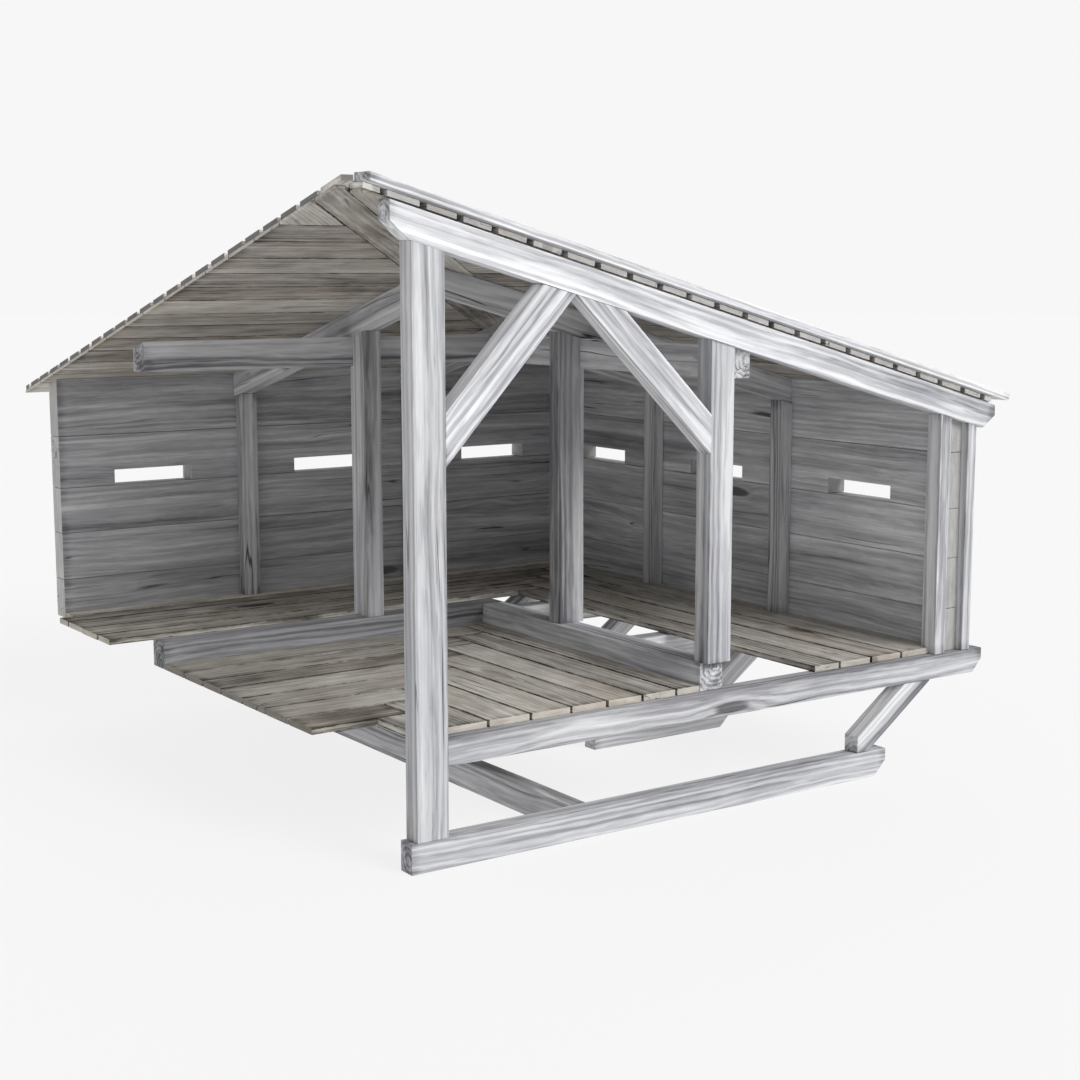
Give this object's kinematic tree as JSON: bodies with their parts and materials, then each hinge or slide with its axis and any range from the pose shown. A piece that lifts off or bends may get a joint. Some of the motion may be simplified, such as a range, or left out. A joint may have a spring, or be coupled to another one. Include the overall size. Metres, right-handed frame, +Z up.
{
  "type": "chicken coop",
  "caption": "Corner-shaped raised timber chicken coop with slotted plank walls, boarded walkways, braced post frames and a hipped board roof.",
  "frame": {"origin": "centre of the bounding box in plan, on the floor plane", "axes": "+Z up; X along the open front frame towards the right wall, Y from the front frame back along the right wall"},
  "size_m": [2.457, 2.47, 1.8484],
  "materials": {
    "frame_timber": "weathered silver-grey, rough sawn",
    "deck_boards": "weathered greige, worn",
    "wall_planks": "weathered grey, rough sawn",
    "soffit_boards": "aged brown-grey",
    "roof_laths": "weathered",
    "roof_trim": "weathered silver-grey",
    "pegs": "cut end grain"
  },
  "bodies": {
    "root": {"beam_front": "frame_timber", "beam_left_a": "frame_timber", "beam_left_b": "frame_timber", "beam_right_a": "frame_timber", "beam_right_b": "frame_timber", "beam_corner": "frame_timber", "corner_post": "frame_timber", "joist_front": "frame_timber", "joist_left_a": "frame_timber", "joist_left_b": "frame_timber", "joist_right_a": "frame_timber", "joist_right_b": "frame_timber", "joist_corner": "frame_timber", "trimmer": "frame_timber", "deck_cleats": "frame_timber", "strut_front": "frame_timber", "strut_left_a": "frame_timber", "strut_left_b": "frame_timber", "strut_right_a": "frame_timber", "strut_right_b": "frame_timber", "strut_corner": "frame_timber", "sill_left": "frame_timber", "sill_right": "frame_timber", "mid_post_front": "frame_timber", "mid_post_left": "frame_timber", "mid_post_right": "frame_timber", "rafter_front": "frame_timber", "rafter_left_a": "frame_timber", "rafter_left_b": "frame_timber", "rafter_right_a": "frame_timber", "rafter_right_b": "frame_timber", "purlin_left": "frame_timber", "purlin_right": "frame_timber", "brace_left": "frame_timber", "brace_right": "frame_timber", "end_post_inner": "frame_timber", "end_post_outer": "frame_timber", "stud_left_a": "frame_timber", "stud_left_b": "frame_timber", "stud_right_a": "frame_timber", "stud_right_b": "frame_timber", "wall_battens": "frame_timber", "deck_left": "deck_boards", "deck_right": "deck_boards", "walkway_left": "deck_boards", "walkway_right": "deck_boards", "wall_left_lower": "wall_planks", "wall_left_slotted": "wall_planks", "wall_left_top": "wall_planks", "wall_right_lower": "wall_planks", "wall_right_slotted": "wall_planks", "wall_right_top": "wall_planks", "soffit_left": "soffit_boards", "soffit_right": "soffit_boards", "laths_left": "roof_laths", "laths_right": "roof_laths", "roof_cover": "roof_laths", "rake_board": "roof_trim", "hip_cap": "roof_trim", "frame_pegs": "pegs"}
  },
  "joints": []
}
